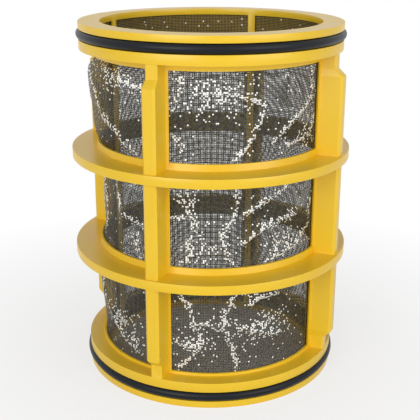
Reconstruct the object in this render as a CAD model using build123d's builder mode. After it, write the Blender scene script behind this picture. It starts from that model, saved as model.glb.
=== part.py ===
from build123d import *
import itertools
import math
import os

# Suction filter element: a moulded cage with four ribs, a woven wire sleeve held
# inside it, and an O-ring in a groove at each end. Millimetres, +Z up, the origin
# at the centre of the lower end face.

# Overall sizes of the element
height = 107.5
bore_radius = 33.0
lip_radius = 39.3

# End rings, each with one groove for an O-ring
end_ring_height = 7.9
outer_lip_height = 2.0
groove_width = 3.0
o_ring_section = 2.8
o_ring_reach = 40.0
o_ring_sides = 6

# The two flanges between the end rings, as far above the middle as below it
flange_radius = 42.4
flange_thickness = 2.75
flange_offset = 15.25

# Tube wall that carries the flanges, and the wire cloth against its inside
wall_radius = 34.8
sleeve_radius = 34.1
cloth_thickness = 0.4
end_lip_height = 1.9

# Ribs: shallow beside the end rings, deep between, with a sloping shoulder
rib_count = 4
first_rib_angle = 45.0
rib_root_radius = 34.4
deep_reach = 41.5
deep_width = 4.1
deep_corner = 0.7
shallow_reach = 39.2
shallow_width = 3.6
shallow_corner = 0.35
shoulder_start = 11.9
shoulder_height = 2.1

# Thin bars inside the cloth, behind the ribs
inner_bar_width = 2.4
inner_bar_thickness = 0.5

# Windows through the tube wall, with a plain border beside each ring and flange
flange_border = 2.0
lower_end_border = 0.8
upper_end_border = 2.0
window_edge_from_rib = 2.9

# Buckles: in each window the cloth folds inward in one slanting valley, and the slants
# repeat out of step with the windows so that no two neighbours are alike
valley_depth = 1.35
valley_half_width = 8.5
valley_length = 60.0
valley_slants = itertools.cycle((38, -46, 52, -35, -50))

# The rolled cloth is many-sided, and in each window some wires stand out of it as
# ridges, with open meshes between them
sleeve_sides = 24
wire_width = 0.8
wire_height = 0.3
wire_end_clearance = 0.4
mesh_opening = 2.0
wire_columns = (-15.0, 15.0)
opening_columns = (-22.5, 0.0, 22.5)
opening_rows = (-0.25, 0.25)

# The O-ring sits on the groove's floor
groove_floor_radius = o_ring_reach - o_ring_section

# Heights of the windows' lower and upper edges, tier by tier
rib_step = 360 / rib_count
middle = height / 2
low_flange = middle - flange_offset
high_flange = middle + flange_offset
flange_band = flange_thickness / 2 + flange_border
tiers = (
    (end_ring_height + lower_end_border, low_flange - flange_band),
    (low_flange + flange_band, high_flange - flange_band),
    (high_flange + flange_band, height - end_ring_height - upper_end_border),
)


def turned_rectangle(inner, outer, bottom, top, mode=Mode.ADD):
    """A rectangle of a turned section, by its radii and heights."""
    with Locations(((inner + outer) / 2, (bottom + top) / 2)):
        Rectangle(outer - inner, top - bottom, mode=mode)


# The turned body of the cage: end rings, tube wall and flanges in one section
with BuildPart() as turned_body:
    with BuildSketch(Plane.XZ) as body_section:
        turned_rectangle(sleeve_radius, wall_radius, 0, height)
        turned_rectangle(sleeve_radius, lip_radius, 0, end_ring_height)
        turned_rectangle(sleeve_radius, lip_radius, height - end_ring_height, height)
        turned_rectangle(bore_radius, sleeve_radius, 0, end_lip_height)
        turned_rectangle(bore_radius, sleeve_radius, height - end_lip_height, height)
        for groove_bottom in (outer_lip_height, height - outer_lip_height - groove_width):
            turned_rectangle(
                groove_floor_radius, lip_radius, groove_bottom, groove_bottom + groove_width, Mode.SUBTRACT
            )
        for flange in (low_flange, high_flange):
            lower_face = flange - flange_thickness / 2
            turned_rectangle(sleeve_radius, flange_radius, lower_face, lower_face + flange_thickness)
    revolve(axis=Axis.Z)

# The windows on the +X side, drawn straight out of the mould like its side core
with BuildPart() as windows:
    edge_angle = math.asin(window_edge_from_rib / wall_radius)
    half_window = wall_radius * math.sin(math.radians(rib_step / 2) - edge_angle)
    with BuildSketch(Plane.YZ.offset(bore_radius / 2)):
        for bottom, top in tiers:
            with Locations((0, (bottom + top) / 2)):
                Rectangle(2 * half_window, top - bottom)
    extrude(amount=wall_radius)


def rib_section(level, reach, width, corner):
    """The rib's level section at one height, with its outer corners taken off."""
    with BuildSketch(Plane.XY.offset(level)) as section:
        with Locations(((rib_root_radius + reach) / 2, 0)):
            Rectangle(reach - rib_root_radius, width)
        chamfer(section.vertices().group_by(Axis.X)[-1], corner)
    return section.sketch


# The lower half of the rib on the +X side, mirrored for the upper half
with BuildPart() as rib:
    root = (outer_lip_height + groove_width + end_ring_height) / 2
    deep_start = shoulder_start + shoulder_height
    foot = rib_section(root, shallow_reach, shallow_width, shallow_corner)
    shallow_end = rib_section(shoulder_start, shallow_reach, shallow_width, shallow_corner)
    deep_end = rib_section(deep_start, deep_reach, deep_width, deep_corner)
    extrude(foot, amount=shoulder_start - root)
    loft([shallow_end, deep_end], ruled=True)
    extrude(deep_end, amount=middle - deep_start)
    mirror(about=Plane.XY.offset(middle))

# One bar inside the cloth on the +X side, joined to both end rings
with BuildPart() as inner_bar:
    bar_arc = math.degrees(inner_bar_width / bore_radius)
    with BuildSketch(Plane.XZ):
        turned_rectangle(
            bore_radius, bore_radius + inner_bar_thickness, end_lip_height, height - end_lip_height
        )
    revolve(axis=Axis.Z, revolution_arc=bar_arc)

# The cage is one moulding
with BuildPart() as cage:
    add(turned_body.part)
    with PolarLocations(0, rib_count):
        add(windows.part, mode=Mode.SUBTRACT)
    with PolarLocations(0, rib_count, start_angle=first_rib_angle):
        add(rib.part)
    with PolarLocations(0, rib_count, start_angle=first_rib_angle - bar_arc / 2):
        add(inner_bar.part)

# Where every valley lies: angle round the element, height of its middle, and slant
valleys = [
    (window * rib_step, (bottom + top) / 2, next(valley_slants))
    for bottom, top in tiers
    for window in range(rib_count)
]


def cloth_body(radius, bottom, top):
    """A solid prism with every valley cut in it, whose sides are one face of the cloth."""
    rise = 1.0
    growth = (valley_depth + rise) / valley_depth
    width = 2 * valley_half_width * growth
    with BuildPart() as body:
        with BuildSketch(Plane.XY.offset(bottom)):
            RegularPolygon(radius, sleeve_sides)
        extrude(amount=top - bottom)
        for angle, level, slant in valleys:
            turned = Rot(0, 0, angle) * Pos(radius + rise, 0, level) * Rot(slant, 0, rib_step)
            with Locations(turned):
                Wedge(
                    width,
                    valley_depth + rise,
                    valley_length,
                    width / 2,
                    0,
                    width / 2,
                    valley_length,
                    align=(Align.CENTER, Align.MIN, Align.CENTER),
                    mode=Mode.SUBTRACT,
                )
    return body.part


# Where one column of windows has its ridges and its open meshes, on the +X side
cloth_box = 2 * (wall_radius - bore_radius * math.cos(math.radians(rib_step / 2)))
with BuildPart() as wire_places:
    for bottom, top in tiers:
        length = top - bottom - 2 * wire_end_clearance
        for column in wire_columns:
            with Locations(Rot(0, 0, column) * Pos(sleeve_radius, 0, (bottom + top) / 2)):
                Box(cloth_box, wire_width, length)
        with Locations((sleeve_radius, 0, (bottom + top) / 2)):
            Box(cloth_box, 2 * (half_window - wire_end_clearance), wire_width)
with BuildPart() as mesh_openings:
    for bottom, top in tiers:
        for row, column in itertools.product(opening_rows, opening_columns):
            level = (bottom + top) / 2 + row * (top - bottom)
            with Locations(Rot(0, 0, column) * Pos(sleeve_radius, 0, level)):
                Box(cloth_box, mesh_opening, mesh_opening)

# The ridges follow the cloth's buckles
with BuildPart() as ridges:
    with PolarLocations(0, rib_count):
        add(wire_places.part)
    add(cloth_body(sleeve_radius + wire_height, 0, height), mode=Mode.INTERSECT)

# The woven wire sleeve, a thin tube that lies against the wall and buckles in the windows
with BuildPart() as mesh_sleeve:
    overrun = 1.0
    add(cloth_body(sleeve_radius, end_lip_height, height - end_lip_height))
    add(ridges.part)
    add(
        cloth_body(sleeve_radius - cloth_thickness, end_lip_height - overrun, height - end_lip_height + overrun),
        mode=Mode.SUBTRACT,
    )
    with PolarLocations(0, rib_count):
        add(mesh_openings.part, mode=Mode.SUBTRACT)

# The lower O-ring sits on its groove's floor, and the upper one mirrors it
with BuildPart() as lower_o_ring:
    with BuildSketch(Plane.XZ):
        with Locations((o_ring_reach - o_ring_section / 2, outer_lip_height + groove_width / 2)):
            RegularPolygon(o_ring_section / 2, o_ring_sides)
    revolve(axis=Axis.Z)
with BuildPart() as upper_o_ring:
    mirror(lower_o_ring.part, about=Plane.XY.offset(middle))

nodes = {
    "cage": cage,
    "mesh_sleeve": mesh_sleeve,
    "lower_o_ring": lower_o_ring,
    "upper_o_ring": upper_o_ring,
}
os.makedirs("parts", exist_ok=True)
for name, node in nodes.items():
    node.part.label = name
    export_step(node.part, f"parts/{name}.step")
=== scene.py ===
import bpy
import math
import numpy as np
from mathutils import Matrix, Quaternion, Vector


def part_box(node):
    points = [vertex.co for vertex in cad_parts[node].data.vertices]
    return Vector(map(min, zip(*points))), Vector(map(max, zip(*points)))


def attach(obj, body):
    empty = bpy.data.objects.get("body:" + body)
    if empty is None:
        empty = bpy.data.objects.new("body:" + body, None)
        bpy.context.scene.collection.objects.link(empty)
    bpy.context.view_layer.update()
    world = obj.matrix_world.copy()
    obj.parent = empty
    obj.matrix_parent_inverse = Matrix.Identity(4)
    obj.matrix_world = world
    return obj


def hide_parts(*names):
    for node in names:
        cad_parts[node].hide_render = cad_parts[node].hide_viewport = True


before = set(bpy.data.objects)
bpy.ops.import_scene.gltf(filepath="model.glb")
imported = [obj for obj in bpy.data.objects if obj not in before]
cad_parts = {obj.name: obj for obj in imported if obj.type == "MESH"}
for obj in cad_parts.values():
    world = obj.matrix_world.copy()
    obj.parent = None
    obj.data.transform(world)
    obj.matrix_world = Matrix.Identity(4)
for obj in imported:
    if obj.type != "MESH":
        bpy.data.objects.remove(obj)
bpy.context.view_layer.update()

# Suction filter element: the moulded cage keeps its CAD shape, with its edges slightly
# rounded, and gets its finish here. The wire sleeve is woven and buckled here, in the
# place of its plain CAD wall, and the O-rings get their round section. Metres, +Z up.

# Places that the CAD settles, in metres and degrees
RIB_STEP = 90.0
FRONT_WINDOW_ANGLE = -90.0
CLOTH_LOW, CLOTH_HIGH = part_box("mesh_sleeve")[0][2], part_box("mesh_sleeve")[1][2]
CLOTH_RADIUS = 0.0339
WINDOW_HALF_ANGLE = 41.0
TIERS = ((0.0087, 0.0351), (0.0419, 0.0656), (0.0724, 0.0976))
O_RING_SECTION = 0.0028

# The photographer's viewpoint, round from the middle of the rib at the front left
RIB_TO_CAMERA = 23.7
CAMERA_ANGLE = FRONT_WINDOW_ANGLE - RIB_STEP / 2 + RIB_TO_CAMERA
CAMERA_DISTANCE = 0.2606
CAMERA_HEIGHT = 0.1347
CAMERA_ROLL = 0.0035
AIM_HEIGHT = 0.0479
AIM_ASIDE = -0.00016
SENSOR_WIDTH = 36.0
LENS = 74.03

# The weave: square plain weave, woven in stainless wire
WIRE_PITCH = 0.0005
WIRE_SHARE = 0.42

# How the cloth folds inside its windows
FOLD_HEIGHT = 0.0009
FOLD_WIDTH = 0.0016

# Folds seen in the front windows, as lines of points: degrees round from the window's
# middle, and height as a share of the window's
FRONT_TOP_FOLDS = (
    ((-38, 0.99), (-34.5, 0.86), (-37.5, 0.68), (-39.5, 0.55)),
    ((5, 0.62), (3, 0.45), (-1.5, 0.24), (-7.5, 0.08), (-9.5, 0.02)),
    ((36.5, 0.93), (37.5, 0.67), (33.5, 0.56), (18, 0.33), (10.5, 0.20)),
    ((39.5, 0.40), (36, 0.17), (18, 0.15)),
    ((-39, 0.28), (-34.5, 0.17), (-35, 0.09)),
    ((-28.5, 0.75), (-17, 0.77), (-5.5, 0.73), (5, 0.62)),
)
FRONT_MIDDLE_FOLDS = (
    ((-36, 0.92), (-31, 0.68), (-28, 0.50), (-33, 0.27), (-30.5, 0.15), (-36.5, 0.02)),
    ((-9.5, 0.96), (-8, 0.83), (-9.5, 0.67), (-16, 0.38), (-14, 0.20), (-10, 0.03)),
    ((-39, 0.60), (-32, 0.66), (-29.5, 0.86)),
    ((19, 0.92), (6.5, 0.79), (-5, 0.63)),
    ((27, 0.54), (10, 0.47), (0, 0.37), (-4.5, 0.28)),
    ((38.5, 0.64), (37.5, 0.32), (28.5, 0.14), (16.5, 0.08), (8.5, 0.04)),
)
FRONT_LOW_FOLDS = (
    ((-37, 0.92), (-32, 0.80), (-30.5, 0.61), (-25, 0.34), (-37, 0.02)),
    ((-8.5, 0.92), (-14.5, 0.68), (-14.5, 0.53), (-9.5, 0.28), (-7, 0.01)),
    ((-28.5, 0.58), (-23.5, 0.59), (-17.5, 0.53), (-14.5, 0.50)),
    ((-6, 0.51), (1.5, 0.45), (12, 0.37), (17, 0.36)),
    ((-39, 0.37), (-32, 0.29), (-26.5, 0.31)),
    ((16, 0.86), (5, 0.85), (-0.5, 0.78)),
)
LEFT_TOP_FOLDS = (
    ((-14, 0.95), (2, 0.70), (10.5, 0.42), (20.5, 0.28), (31.5, 0.03)),
    ((4, 0.99), (20, 0.90), (32.5, 0.81), (38, 0.80)),
    ((-36, 0.20), (-20, 0.48), (-14, 0.95)),
)
LEFT_MIDDLE_FOLDS = (
    ((14.5, 0.94), (15.5, 0.69), (17, 0.50), (31.5, 0.46)),
    ((27.5, 0.24), (31.5, 0.03)),
    ((-34, 0.80), (-22, 0.55), (-25, 0.15)),
    ((-6, 0.05), (2, 0.42), (-4, 0.86)),
)
LEFT_LOW_FOLDS = (
    ((12.5, 0.35), (20, 0.21), (30.5, 0.10)),
    ((-30, 0.90), (-18, 0.62), (-24, 0.20)),
    ((2, 0.94), (-3, 0.66), (12.5, 0.35)),
)

# Places where painted sheen spreads more widely over the cloth: degrees round, height share,
# the half width of each, and how brightly it is painted
FRONT_TOP_PAINTED_SHEEN = ((-18, 0.72, 14, 0.22, 0.45), (34, 0.20, 6, 0.14, 0.6))
FRONT_MIDDLE_PAINTED_SHEEN = (
    (-33, 0.88, 6, 0.12, 0.4),
    (-27, 0.20, 8, 0.15, 0.35),
    (20, 0.20, 10, 0.12, 0.45),
    (8, 0.45, 6, 0.10, 0.3),
)
FRONT_LOW_PAINTED_SHEEN = (
    (-30, 0.30, 9, 0.10, 0.5),
    (-15, 0.57, 6, 0.08, 0.5),
    (10, 0.48, 14, 0.14, 0.6),
    (2, 0.88, 8, 0.08, 0.4),
)
LEFT_TOP_PAINTED_SHEEN = ((22, 0.85, 10, 0.12, 0.5), (-8, 0.93, 12, 0.06, 0.5))
LEFT_MIDDLE_PAINTED_SHEEN = ((26, 0.22, 5, 0.10, 0.4), (-20, 0.60, 8, 0.15, 0.4))
LEFT_LOW_PAINTED_SHEEN = ((16, 0.42, 10, 0.12, 0.6), (26, 0.24, 5, 0.08, 0.5))

# How far the cloth bows at a window's foot and at its head: outward is positive
INWARD = (-0.0013, -0.0013)
LEFT_BOWS = ((-0.0002, 0.0012), (-0.0010, -0.0010), (0.0016, 0.0026))

# Every window's folds, painted sheen and bow, tier by tier from below, going round from the
# front one. The two columns at the back repeat the front's and the left's turned over.
FRONT = (
    (FRONT_LOW_FOLDS, FRONT_LOW_PAINTED_SHEEN, INWARD),
    (FRONT_MIDDLE_FOLDS, FRONT_MIDDLE_PAINTED_SHEEN, INWARD),
    (FRONT_TOP_FOLDS, FRONT_TOP_PAINTED_SHEEN, INWARD),
)
LEFT = (
    (LEFT_LOW_FOLDS, LEFT_LOW_PAINTED_SHEEN, LEFT_BOWS[0]),
    (LEFT_MIDDLE_FOLDS, LEFT_MIDDLE_PAINTED_SHEEN, LEFT_BOWS[1]),
    (LEFT_TOP_FOLDS, LEFT_TOP_PAINTED_SHEEN, LEFT_BOWS[2]),
)


def turned_over(column):
    """The same column of windows, each one upside down and the other way round."""
    turned = []
    for folds, painted_shine, bow in column:
        folds = tuple(tuple((-round_by, 1 - up) for round_by, up in fold) for fold in folds)
        painted_shine = tuple((-round_by, 1 - up, wide, tall, how) for round_by, up, wide, tall, how in painted_shine)
        turned.append((folds, painted_shine, bow[::-1]))
    return tuple(turned)


COLUMNS = (FRONT, turned_over(LEFT), turned_over(FRONT), LEFT)


def distance_to_fold(across, up, fold):
    """Distance from every point of the cloth to one fold's line, in metres."""
    nearest = np.full(across.shape, np.inf)
    for (ax, ay), (bx, by) in zip(fold, fold[1:]):
        run_x, run_y = bx - ax, by - ay
        share = ((across - ax) * run_x + (up - ay) * run_y) / (run_x**2 + run_y**2)
        share = np.clip(share, 0, 1)
        nearest = np.minimum(nearest, np.hypot(across - ax - share * run_x, up - ay - share * run_y))
    return nearest


def window_relief(around, height):
    """How far the cloth stands out of its plain tube, and how much painted glint it gets along folds and in
    sheen patches.
    """
    outward = np.zeros_like(around)
    painted_shine = np.zeros_like(around)
    for column, tiers in enumerate(COLUMNS):
        middle = FRONT_WINDOW_ANGLE + column * RIB_STEP
        turn = (around - middle + 180) % 360 - 180
        for (low, high), (folds, painted_sheen_patches, (foot, head)) in zip(TIERS, tiers):
            inside = (abs(turn) < WINDOW_HALF_ANGLE) & (height > low) & (height < high)
            up = (height - low) / (high - low)
            side = np.clip(1 - (turn / WINDOW_HALF_ANGLE) ** 4, 0, 1)
            slack = side * np.clip(1 - (2 * up - 1) ** 6, 0, 1)
            across = np.radians(turn) * CLOTH_RADIUS
            lift = np.zeros_like(around)
            # The painted glint mask: near-white colour along each fold's crest and in the listed sheen
            # patches, standing in for highlights
            painted_glint_mask = np.zeros_like(around)
            for fold in folds:
                line = [(math.radians(a) * CLOTH_RADIUS, low + u * (high - low)) for a, u in fold]
                away = distance_to_fold(across, height, line)
                lift = np.maximum(lift, np.exp(-away / FOLD_WIDTH))
                painted_glint_mask = np.maximum(painted_glint_mask, np.exp(-((away / (FOLD_WIDTH * 0.45)) ** 2)))
            for round_by, at, wide, tall, how in painted_sheen_patches:
                spread = ((turn - round_by) / wide) ** 2 + ((up - at) / tall) ** 2
                painted_glint_mask = np.maximum(painted_glint_mask, how * np.exp(-spread))
            bow = foot + (head - foot) * up
            outward = np.where(inside, slack * (bow + FOLD_HEIGHT * lift), outward)
            painted_shine = np.where(inside, slack**0.2 * painted_glint_mask, painted_shine)
    return outward, painted_shine


def woven_sleeve():
    """The wire cloth: one rolled sheet, buckled in its windows."""
    columns = 360
    rows = 172
    angles = np.arange(columns) * 360 / columns
    heights = np.linspace(CLOTH_LOW, CLOTH_HIGH, rows + 1)
    around, height = np.meshgrid(angles, heights)
    outward, painted_shine = window_relief(around, height)
    radius = CLOTH_RADIUS + outward
    x = radius * np.cos(np.radians(around))
    y = radius * np.sin(np.radians(around))
    points = np.stack([x, y, height], axis=-1).reshape(-1, 3)
    faces = []
    for row in range(rows):
        for column in range(columns):
            beside = (column + 1) % columns
            below = row * columns
            above = below + columns
            faces.append((below + column, below + beside, above + beside, above + column))
    mesh = bpy.data.meshes.new("woven_sleeve")
    mesh.from_pydata(points.tolist(), [], faces)
    mesh.update()
    # The painted glint mask goes on the points, for the cloth's material to paint its highlights
    painted_shine_layer = mesh.attributes.new("painted_shine", "FLOAT", "POINT")
    painted_shine_layer.data.foreach_set("value", painted_shine.reshape(-1))
    mesh.polygons.foreach_set("use_smooth", [True] * len(faces))
    sleeve = bpy.data.objects.new("woven_sleeve", mesh)
    bpy.context.scene.collection.objects.link(sleeve)
    return sleeve


def round_o_ring(node):
    """A rubber ring of round section, where the CAD has it with flat sides."""
    steps = 180
    sides = 20
    (_, _, low), (reach, _, high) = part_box(node)
    middle = reach - O_RING_SECTION / 2
    turns = np.arange(steps) * 2 * math.pi / steps
    rolls = np.arange(sides) * 2 * math.pi / sides
    turn, roll = np.meshgrid(turns, rolls, indexing="ij")
    radius = middle + O_RING_SECTION / 2 * np.cos(roll)
    level = (low + high) / 2 + O_RING_SECTION / 2 * np.sin(roll)
    points = np.stack([radius * np.cos(turn), radius * np.sin(turn), level], axis=-1).reshape(-1, 3)
    faces = []
    for step in range(steps):
        here = step * sides
        there = (step + 1) % steps * sides
        for side in range(sides):
            beside = (side + 1) % sides
            faces.append((here + side, there + side, there + beside, here + beside))
    mesh = bpy.data.meshes.new("round_" + node)
    mesh.from_pydata(points.tolist(), [], faces)
    mesh.update()
    mesh.polygons.foreach_set("use_smooth", [True] * len(faces))
    ring = bpy.data.objects.new("round_" + node, mesh)
    bpy.context.scene.collection.objects.link(ring)
    return ring


def joined(tree, kind, inputs=None, **settings):
    """A new node in a tree, with its settings made and its inputs set or linked."""
    node = tree.nodes.new(kind)
    for name, value in settings.items():
        setattr(node, name, value)
    for name, value in (inputs or {}).items():
        if isinstance(value, bpy.types.NodeSocket):
            tree.links.new(value, node.inputs[name])
        else:
            node.inputs[name].default_value = value
    return node


def maths(tree, operation, *values):
    """One arithmetic node, and the value that it gives."""
    node = tree.nodes.new("ShaderNodeMath")
    node.operation = operation
    for socket, value in zip(node.inputs, values):
        if isinstance(value, bpy.types.NodeSocket):
            tree.links.new(value, socket)
        else:
            socket.default_value = value
    return node.outputs[0]


def new_group(name, inputs, outputs):
    """An empty shader group with named sockets, and its two end nodes."""
    group = bpy.data.node_groups.new(name, "ShaderNodeTree")
    for socket, kind, value in inputs:
        made = group.interface.new_socket(socket, in_out="INPUT", socket_type=kind)
        if value is not None:
            made.default_value = value
    for socket, kind in outputs:
        group.interface.new_socket(socket, in_out="OUTPUT", socket_type=kind)
    return group, group.nodes.new("NodeGroupInput"), group.nodes.new("NodeGroupOutput")


def placed(tree, group, inputs):
    """A group placed in a material with its own values."""
    node = tree.nodes.new("ShaderNodeGroup")
    node.node_tree = group
    for name, value in inputs.items():
        if isinstance(value, bpy.types.NodeSocket):
            tree.links.new(value, node.inputs[name])
        else:
            node.inputs[name].default_value = value
    return node


def surface_grain_group():
    """Fine grain, cloudy variation and sparse specks for moulded and rubber surfaces."""
    group, start, end = new_group(
        "surface_grain",
        (
            ("Grain Size", "NodeSocketFloat", 0.0006),
            ("Cloud Size", "NodeSocketFloat", 0.012),
            ("Speck Spacing", "NodeSocketFloat", 0.006),
            ("Speck Share", "NodeSocketFloat", 0.05),
        ),
        (
            ("Grain", "NodeSocketFloat"),
            ("Cloud", "NodeSocketFloat"),
            ("Speck", "NodeSocketFloat"),
        ),
    )
    place = joined(group, "ShaderNodeTexCoord").outputs["Object"]
    grain = joined(
        group,
        "ShaderNodeTexNoise",
        {"Vector": place, "Scale": maths(group, "DIVIDE", 1.0, start.outputs["Grain Size"]), "Detail": 3.0},
    )
    cloud = joined(
        group,
        "ShaderNodeTexNoise",
        {"Vector": place, "Scale": maths(group, "DIVIDE", 1.0, start.outputs["Cloud Size"]), "Detail": 4.0},
    )
    cells = joined(
        group,
        "ShaderNodeTexVoronoi",
        {"Vector": place, "Scale": maths(group, "DIVIDE", 1.0, start.outputs["Speck Spacing"])},
    )
    speck = maths(group, "LESS_THAN", cells.outputs["Distance"], start.outputs["Speck Share"])
    group.links.new(grain.outputs["Fac"], end.inputs["Grain"])
    group.links.new(cloud.outputs["Fac"], end.inputs["Cloud"])
    group.links.new(speck, end.inputs["Speck"])
    return group


def plain_weave_group():
    """Square plain weave on a sleeve round the Z axis: where wire is, and its relief."""
    group, start, end = new_group(
        "plain_weave",
        (
            ("Wires Around", "NodeSocketFloat", 400.0),
            ("Pitch", "NodeSocketFloat", 0.0005),
            ("Wire Share", "NodeSocketFloat", 0.5),
        ),
        (
            ("Cover", "NodeSocketFloat"),
            ("Relief", "NodeSocketFloat"),
            ("Chance", "NodeSocketFloat"),
        ),
    )
    place = joined(group, "ShaderNodeTexCoord").outputs["Object"]
    parts = joined(group, "ShaderNodeSeparateXYZ", {"Vector": place})
    turn = maths(group, "ARCTAN2", parts.outputs["Y"], parts.outputs["X"])
    turns = maths(group, "DIVIDE", turn, 2 * math.pi)
    across = maths(group, "MULTIPLY", turns, start.outputs["Wires Around"])
    up = maths(group, "DIVIDE", parts.outputs["Z"], start.outputs["Pitch"])

    def from_wire(value):
        """Distance from the nearest wire's middle line, 0 on it and 1 at its edge."""
        off_middle = maths(group, "ABSOLUTE", maths(group, "SUBTRACT", maths(group, "FRACT", value), 0.5))
        return maths(group, "DIVIDE", maths(group, "MULTIPLY", off_middle, 2.0), start.outputs["Wire Share"])

    def roundness(offset):
        """The height of a round wire at that distance."""
        inside = maths(group, "SUBTRACT", 1.0, maths(group, "MULTIPLY", offset, offset))
        return maths(group, "SQRT", maths(group, "MAXIMUM", inside, 0.0))

    upright_offset = from_wire(across)
    level_offset = from_wire(up)
    upright = maths(group, "LESS_THAN", upright_offset, 1.0)
    level = maths(group, "LESS_THAN", level_offset, 1.0)
    cover = maths(group, "MAXIMUM", upright, level)

    # Each wire rises and dips as it goes over and under, out of step with its neighbour
    cell_across = maths(group, "FLOOR", across)
    cell_up = maths(group, "FLOOR", up)

    def rise(along, neighbour, inside, offset):
        """A wire's height, by the place along it and the number of the wire."""
        place_along = maths(group, "ADD", maths(group, "SUBTRACT", along, 0.5), neighbour)
        wave = maths(group, "COSINE", maths(group, "MULTIPLY", place_along, math.pi))
        top = maths(group, "ADD", roundness(offset), maths(group, "MULTIPLY", wave, 0.5))
        return maths(group, "MULTIPLY", inside, top)

    upright_height = rise(up, cell_across, upright, upright_offset)
    level_height = rise(across, maths(group, "ADD", cell_up, 1.0), level, level_offset)
    relief = maths(group, "MAXIMUM", upright_height, level_height)

    # Every crossing gets a random value of its own, for its tone and for the odds of a painted glint
    crossing = joined(group, "ShaderNodeCombineXYZ", {"X": cell_across, "Y": cell_up})
    chance = joined(group, "ShaderNodeTexWhiteNoise", {"Vector": crossing.outputs[0]}, noise_dimensions="2D")
    group.links.new(cover, end.inputs["Cover"])
    group.links.new(relief, end.inputs["Relief"])
    group.links.new(chance.outputs["Value"], end.inputs["Chance"])
    return group


SURFACE_GRAIN = surface_grain_group()
PLAIN_WEAVE = plain_weave_group()


def new_material(name):
    """A material with an empty Principled shader, its tree and the shader."""
    material = bpy.data.materials.new(name)
    material.use_nodes = True
    tree = material.node_tree
    return material, tree, tree.nodes["Principled BSDF"]


def yellow_moulding():
    """Glossy moulded polypropylene, slightly cloudy, with a few dark specks."""
    material, tree, shader = new_material("yellow_moulding")
    grain = placed(
        tree,
        SURFACE_GRAIN,
        {"Grain Size": 0.0009, "Cloud Size": 0.014, "Speck Spacing": 0.011, "Speck Share": 0.018},
    )
    # A colour Mix node has its colours at inputs 6 and 7, and its result at output 2
    colour = joined(tree, "ShaderNodeMix", {"Factor": grain.outputs["Cloud"]}, data_type="RGBA")
    colour.inputs[6].default_value = (0.82, 0.515, 0.013, 1)
    colour.inputs[7].default_value = (0.88, 0.585, 0.024, 1)
    specked = joined(tree, "ShaderNodeMix", {"Factor": grain.outputs["Speck"]}, data_type="RGBA")
    tree.links.new(colour.outputs[2], specked.inputs[6])
    specked.inputs[7].default_value = (0.16, 0.09, 0.01, 1)
    tree.links.new(specked.outputs[2], shader.inputs["Base Color"])
    roughness = joined(
        tree, "ShaderNodeMapRange", {"Value": grain.outputs["Cloud"], "To Min": 0.26, "To Max": 0.38}
    )
    tree.links.new(roughness.outputs[0], shader.inputs["Roughness"])
    bump = joined(
        tree, "ShaderNodeBump", {"Height": grain.outputs["Grain"], "Strength": 0.06, "Distance": 0.0003}
    )
    tree.links.new(bump.outputs[0], shader.inputs["Normal"])
    shader.inputs["IOR"].default_value = 1.49
    return material


def seal_rubber():
    """Black nitrile rubber, satin, with a little dust."""
    material, tree, shader = new_material("seal_rubber")
    grain = placed(
        tree,
        SURFACE_GRAIN,
        {"Grain Size": 0.0005, "Cloud Size": 0.006, "Speck Spacing": 0.0025, "Speck Share": 0.05},
    )
    colour = joined(tree, "ShaderNodeMix", {"Factor": grain.outputs["Speck"]}, data_type="RGBA")
    colour.inputs[6].default_value = (0.004, 0.006, 0.009, 1)
    colour.inputs[7].default_value = (0.04, 0.04, 0.036, 1)
    tree.links.new(colour.outputs[2], shader.inputs["Base Color"])
    roughness = joined(
        tree, "ShaderNodeMapRange", {"Value": grain.outputs["Cloud"], "To Min": 0.3, "To Max": 0.45}
    )
    tree.links.new(roughness.outputs[0], shader.inputs["Roughness"])
    bump = joined(
        tree, "ShaderNodeBump", {"Height": grain.outputs["Grain"], "Strength": 0.1, "Distance": 0.0002}
    )
    tree.links.new(bump.outputs[0], shader.inputs["Normal"])
    shader.inputs["Specular IOR Level"].default_value = 0.22
    return material


def wire_cloth():
    """Plain-woven stainless wire: dull grey, open between the wires, with painted glints along folds and in
    patches.
    """
    material, tree, shader = new_material("wire_cloth")
    wires_around = round(2 * math.pi * CLOTH_RADIUS / WIRE_PITCH)
    weave = placed(
        tree,
        PLAIN_WEAVE,
        {"Wires Around": float(wires_around), "Pitch": WIRE_PITCH, "Wire Share": WIRE_SHARE},
    )
    painted_shine = joined(tree, "ShaderNodeAttribute", attribute_name="painted_shine").outputs["Fac"]
    dull = joined(tree, "ShaderNodeMix", {"Factor": weave.outputs["Chance"]}, data_type="RGBA")
    dull.inputs[6].default_value = (0.030, 0.029, 0.022, 1)
    dull.inputs[7].default_value = (0.085, 0.082, 0.066, 1)
    # Painted glints: where the mask is high, more crossings get near-white colour, standing in for
    # highlights
    painted_glint_odds = maths(tree, "MULTIPLY_ADD", painted_shine, 0.62, 0.012)
    painted_glint = maths(tree, "LESS_THAN", weave.outputs["Chance"], painted_glint_odds)
    colour = joined(tree, "ShaderNodeMix", {"Factor": painted_glint}, data_type="RGBA")
    tree.links.new(dull.outputs[2], colour.inputs[6])
    colour.inputs[7].default_value = (0.95, 0.95, 0.90, 1)
    tree.links.new(colour.outputs[2], shader.inputs["Base Color"])
    shader.inputs["Metallic"].default_value = 0.6
    shader.inputs["Roughness"].default_value = 0.45
    tree.links.new(weave.outputs["Cover"], shader.inputs["Alpha"])
    bump = joined(
        tree, "ShaderNodeBump", {"Height": weave.outputs["Relief"], "Strength": 0.5, "Distance": 0.0001}
    )
    tree.links.new(bump.outputs[0], shader.inputs["Normal"])
    return material


def round_the_edges(node, width):
    """Takes the sharpness off the edges of a moulded CAD piece."""
    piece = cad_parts[node]
    weld = piece.modifiers.new("weld", "WELD")
    weld.merge_threshold = 0.000001
    rounding = piece.modifiers.new("rounding", "BEVEL")
    rounding.width = width
    rounding.segments = 2
    rounding.limit_method = "ANGLE"
    rounding.angle_limit = math.radians(40)
    rounding.use_clamp_overlap = True


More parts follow.
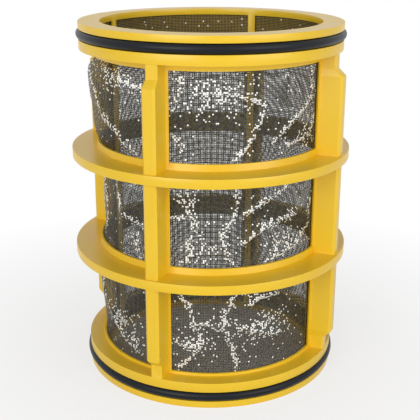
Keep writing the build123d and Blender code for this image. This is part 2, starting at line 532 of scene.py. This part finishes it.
def dress(node, material):
    """Gives a CAD node its finish."""
    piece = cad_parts[node]
    if not piece.data.materials:
        piece.data.materials.append(material)
    for slot in piece.material_slots:
        slot.material = material


def ray_seen_directly(tree):
    """1 for the rays that see the background as it is: camera, glossy and clear ones."""
    path = tree.nodes.new("ShaderNodeLightPath")
    seen = maths(tree, "MAXIMUM", path.outputs["Is Camera Ray"], path.outputs["Is Glossy Ray"])
    return maths(tree, "MAXIMUM", seen, path.outputs["Is Transmission Ray"])


def white_room():
    """A white surround that lights the element evenly from all sides."""
    world = bpy.data.worlds.new("white_room")
    bpy.context.scene.world = world
    world.use_nodes = True
    tree = world.node_tree
    tree.nodes.clear()
    seen = joined(tree, "ShaderNodeBackground", {"Color": (1, 1, 1, 1), "Strength": 1.0})
    light = joined(tree, "ShaderNodeBackground", {"Color": (1, 1, 1, 1), "Strength": 0.34})
    mix = tree.nodes.new("ShaderNodeMixShader")
    end = tree.nodes.new("ShaderNodeOutputWorld")
    tree.links.new(ray_seen_directly(tree), mix.inputs[0])
    tree.links.new(light.outputs[0], mix.inputs[1])
    tree.links.new(seen.outputs[0], mix.inputs[2])
    tree.links.new(mix.outputs[0], end.inputs[0])


def white_floor():
    """A plain white floor that keeps a soft shadow."""
    size = 4.0
    mesh = bpy.data.meshes.new("floor")
    corners = [(x * size, y * size, -0.0001) for x, y in ((-1, -1), (1, -1), (1, 1), (-1, 1))]
    mesh.from_pydata(corners, [], [(0, 1, 2, 3)])
    floor = bpy.data.objects.new("floor", mesh)
    bpy.context.scene.collection.objects.link(floor)
    material = bpy.data.materials.new("floor_white")
    material.use_nodes = True
    tree = material.node_tree
    tree.nodes.clear()
    matt = joined(tree, "ShaderNodeBsdfDiffuse", {"Color": (0.88, 0.88, 0.88, 1)})
    glow = joined(tree, "ShaderNodeEmission", {"Color": (1, 1, 1, 1), "Strength": 1.0})
    mix = tree.nodes.new("ShaderNodeMixShader")
    end = tree.nodes.new("ShaderNodeOutputMaterial")
    # The glow leaves out the ground inside the element, and keeps some of its shadow nearby
    place = joined(tree, "ShaderNodeTexCoord").outputs["Object"]
    away = joined(tree, "ShaderNodeVectorMath", {0: place}, operation="LENGTH").outputs["Value"]
    outside = maths(tree, "GREATER_THAN", away, 0.0385)
    nearby = joined(
        tree,
        "ShaderNodeMapRange",
        {"Value": away, "From Min": 0.0385, "From Max": 0.15, "To Min": 0.7, "To Max": 1.0},
    )
    share = maths(tree, "MULTIPLY", outside, nearby.outputs[0])
    tree.links.new(maths(tree, "MULTIPLY", ray_seen_directly(tree), share), mix.inputs[0])
    tree.links.new(matt.outputs[0], mix.inputs[1])
    tree.links.new(glow.outputs[0], mix.inputs[2])
    tree.links.new(mix.outputs[0], end.inputs[0])
    mesh.materials.append(material)


def soft_lamp(name, place, target, size, watts):
    """A large soft lamp that faces its target."""
    data = bpy.data.lights.new(name, "AREA")
    data.shape = "RECTANGLE"
    data.size, data.size_y = size
    data.energy = watts
    lamp = bpy.data.objects.new(name, data)
    bpy.context.scene.collection.objects.link(lamp)
    lamp.location = place
    lamp.rotation_euler = (Vector(target) - Vector(place)).to_track_quat("-Z", "Y").to_euler()


def round_about(angle, distance, height):
    """A point by its angle round the element from the camera's side, to the picture's right."""
    turn = math.radians(CAMERA_ANGLE + angle)
    return (distance * math.cos(turn), distance * math.sin(turn), height)


def photographers_camera():
    """The camera, where the photograph was taken from."""
    data = bpy.data.cameras.new("camera")
    data.sensor_width = SENSOR_WIDTH
    data.lens = LENS
    camera = bpy.data.objects.new("camera", data)
    bpy.context.scene.collection.objects.link(camera)
    camera.location = round_about(0, CAMERA_DISTANCE, CAMERA_HEIGHT)
    turn = math.radians(CAMERA_ANGLE + 90)
    aim = Vector((math.cos(turn) * AIM_ASIDE, math.sin(turn) * AIM_ASIDE, AIM_HEIGHT))
    facing = (aim - camera.location).to_track_quat("-Z", "Y")
    camera.rotation_euler = (facing @ Quaternion((0, 0, 1), CAMERA_ROLL)).to_euler()
    bpy.context.scene.camera = camera


# The element
round_the_edges("cage", 0.0003)
dress("cage", yellow_moulding())

RUBBER = seal_rubber()
for NODE in ("upper_o_ring", "lower_o_ring"):
    ring = round_o_ring(NODE)
    ring.data.materials.append(RUBBER)
    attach(ring, "root")
    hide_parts(NODE)

sleeve = woven_sleeve()
sleeve.data.materials.append(wire_cloth())
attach(sleeve, "root")
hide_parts("mesh_sleeve")

# The studio
white_room()
white_floor()
soft_lamp("key", round_about(-30, 0.75, 0.28), (0, 0, 0.05), (0.5, 0.5), 2.85)
soft_lamp("fill", round_about(45, 0.8, 0.3), (0, 0, 0.05), (0.6, 0.6), 2.75)
bpy.context.scene.view_settings.view_transform = "Standard"
photographers_camera()
